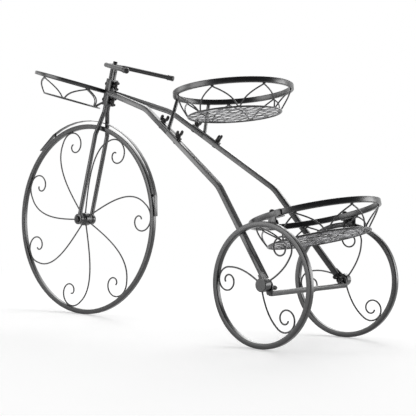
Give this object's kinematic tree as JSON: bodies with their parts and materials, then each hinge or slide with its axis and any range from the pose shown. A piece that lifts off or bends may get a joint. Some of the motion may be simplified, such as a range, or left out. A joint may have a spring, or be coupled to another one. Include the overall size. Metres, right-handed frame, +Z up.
{
  "type": "tricycle planter stand",
  "caption": "Powder-coated steel plant stand shaped like an old tricycle, with round wire baskets for pots in front, as the saddle and between the rear wheels.",
  "frame": {"origin": "on the floor, under the centre of the bounding box", "axes": "+Z up, +X towards the rear wheels, -X towards the tall front wheel, +Y to the stand's right side"},
  "size_m": [0.9398, 0.2962, 0.5554],
  "materials": {
    "frame_coat": "satin charcoal powder coat on square steel tube",
    "wire_coat": "satin black powder coat on thin steel wire",
    "mesh_coat": "grey powder coat on expanded steel mesh",
    "fasteners": "blackened steel bolts and wing nuts, semi-matt",
    "end_caps": "black moulded plastic caps, satin"
  },
  "bodies": {
    "stand": {"fork_leg_left": "frame_coat", "fork_leg_right": "frame_coat", "front_axle_bolt": "fasteners", "front_axle_nut": "fasteners", "front_axle_washer_left": "fasteners", "front_axle_washer_right": "fasteners", "handlebar": "frame_coat", "handlebar_cap_left": "end_caps", "handlebar_cap_right": "end_caps", "handlebar_screw": "fasteners", "head_bracket": "frame_coat", "front_basket_bar": "frame_coat", "head_bolt_upper": "fasteners", "head_bolt_lower": "fasteners", "head_wing_nut_upper": "fasteners", "head_wing_nut_lower": "fasteners", "frame_front_tube_left": "frame_coat", "frame_front_tube_right": "frame_coat", "frame_rear_tube_left": "frame_coat", "frame_rear_tube_right": "frame_coat", "frame_spigot_left": "frame_coat", "frame_spigot_right": "frame_coat", "front_basket_ring": "frame_coat", "front_basket_arches": "wire_coat", "front_basket_floor": "mesh_coat", "seat_basket_ring": "frame_coat", "seat_basket_arches": "wire_coat", "seat_basket_floor": "mesh_coat", "rear_basket_ring": "frame_coat", "rear_basket_arches": "wire_coat", "rear_basket_floor": "mesh_coat", "seat_post_left": "frame_coat", "seat_post_right": "frame_coat", "seat_bolt_left_front": "fasteners", "seat_bolt_left_rear": "fasteners", "seat_bolt_right_front": "fasteners", "seat_bolt_right_rear": "fasteners", "seat_wing_nut_left_front": "fasteners", "seat_wing_nut_left_rear": "fasteners", "seat_wing_nut_right_front": "fasteners", "seat_wing_nut_right_rear": "fasteners", "rear_rim_left": "frame_coat", "rear_rim_right": "frame_coat", "rear_hub_spokes_left": "wire_coat", "rear_hub_spokes_right": "wire_coat", "axle_bar": "frame_coat", "rear_hub_bolt_left": "fasteners", "rear_hub_bolt_right": "fasteners", "rear_hub_wing_nut_left": "fasteners", "rear_hub_wing_nut_right": "fasteners", "rear_basket_lug_left": "frame_coat", "rear_basket_lug_right": "frame_coat", "rear_basket_bolt_left": "fasteners", "rear_basket_bolt_right": "fasteners", "rear_basket_wing_nut_left": "fasteners", "rear_basket_wing_nut_right": "fasteners"},
    "front_wheel": {"front_rim": "frame_coat", "front_hub_spokes": "wire_coat", "fender": "frame_coat"}
  },
  "joints": [
    {"name": "front_wheel_turn", "type": "hinge", "parent": "stand", "child": "front_wheel", "pos_m": [-0.25992, 0, 0.21], "axis": [0, 1, 0], "range_deg": [-110, 70]}
  ]
}
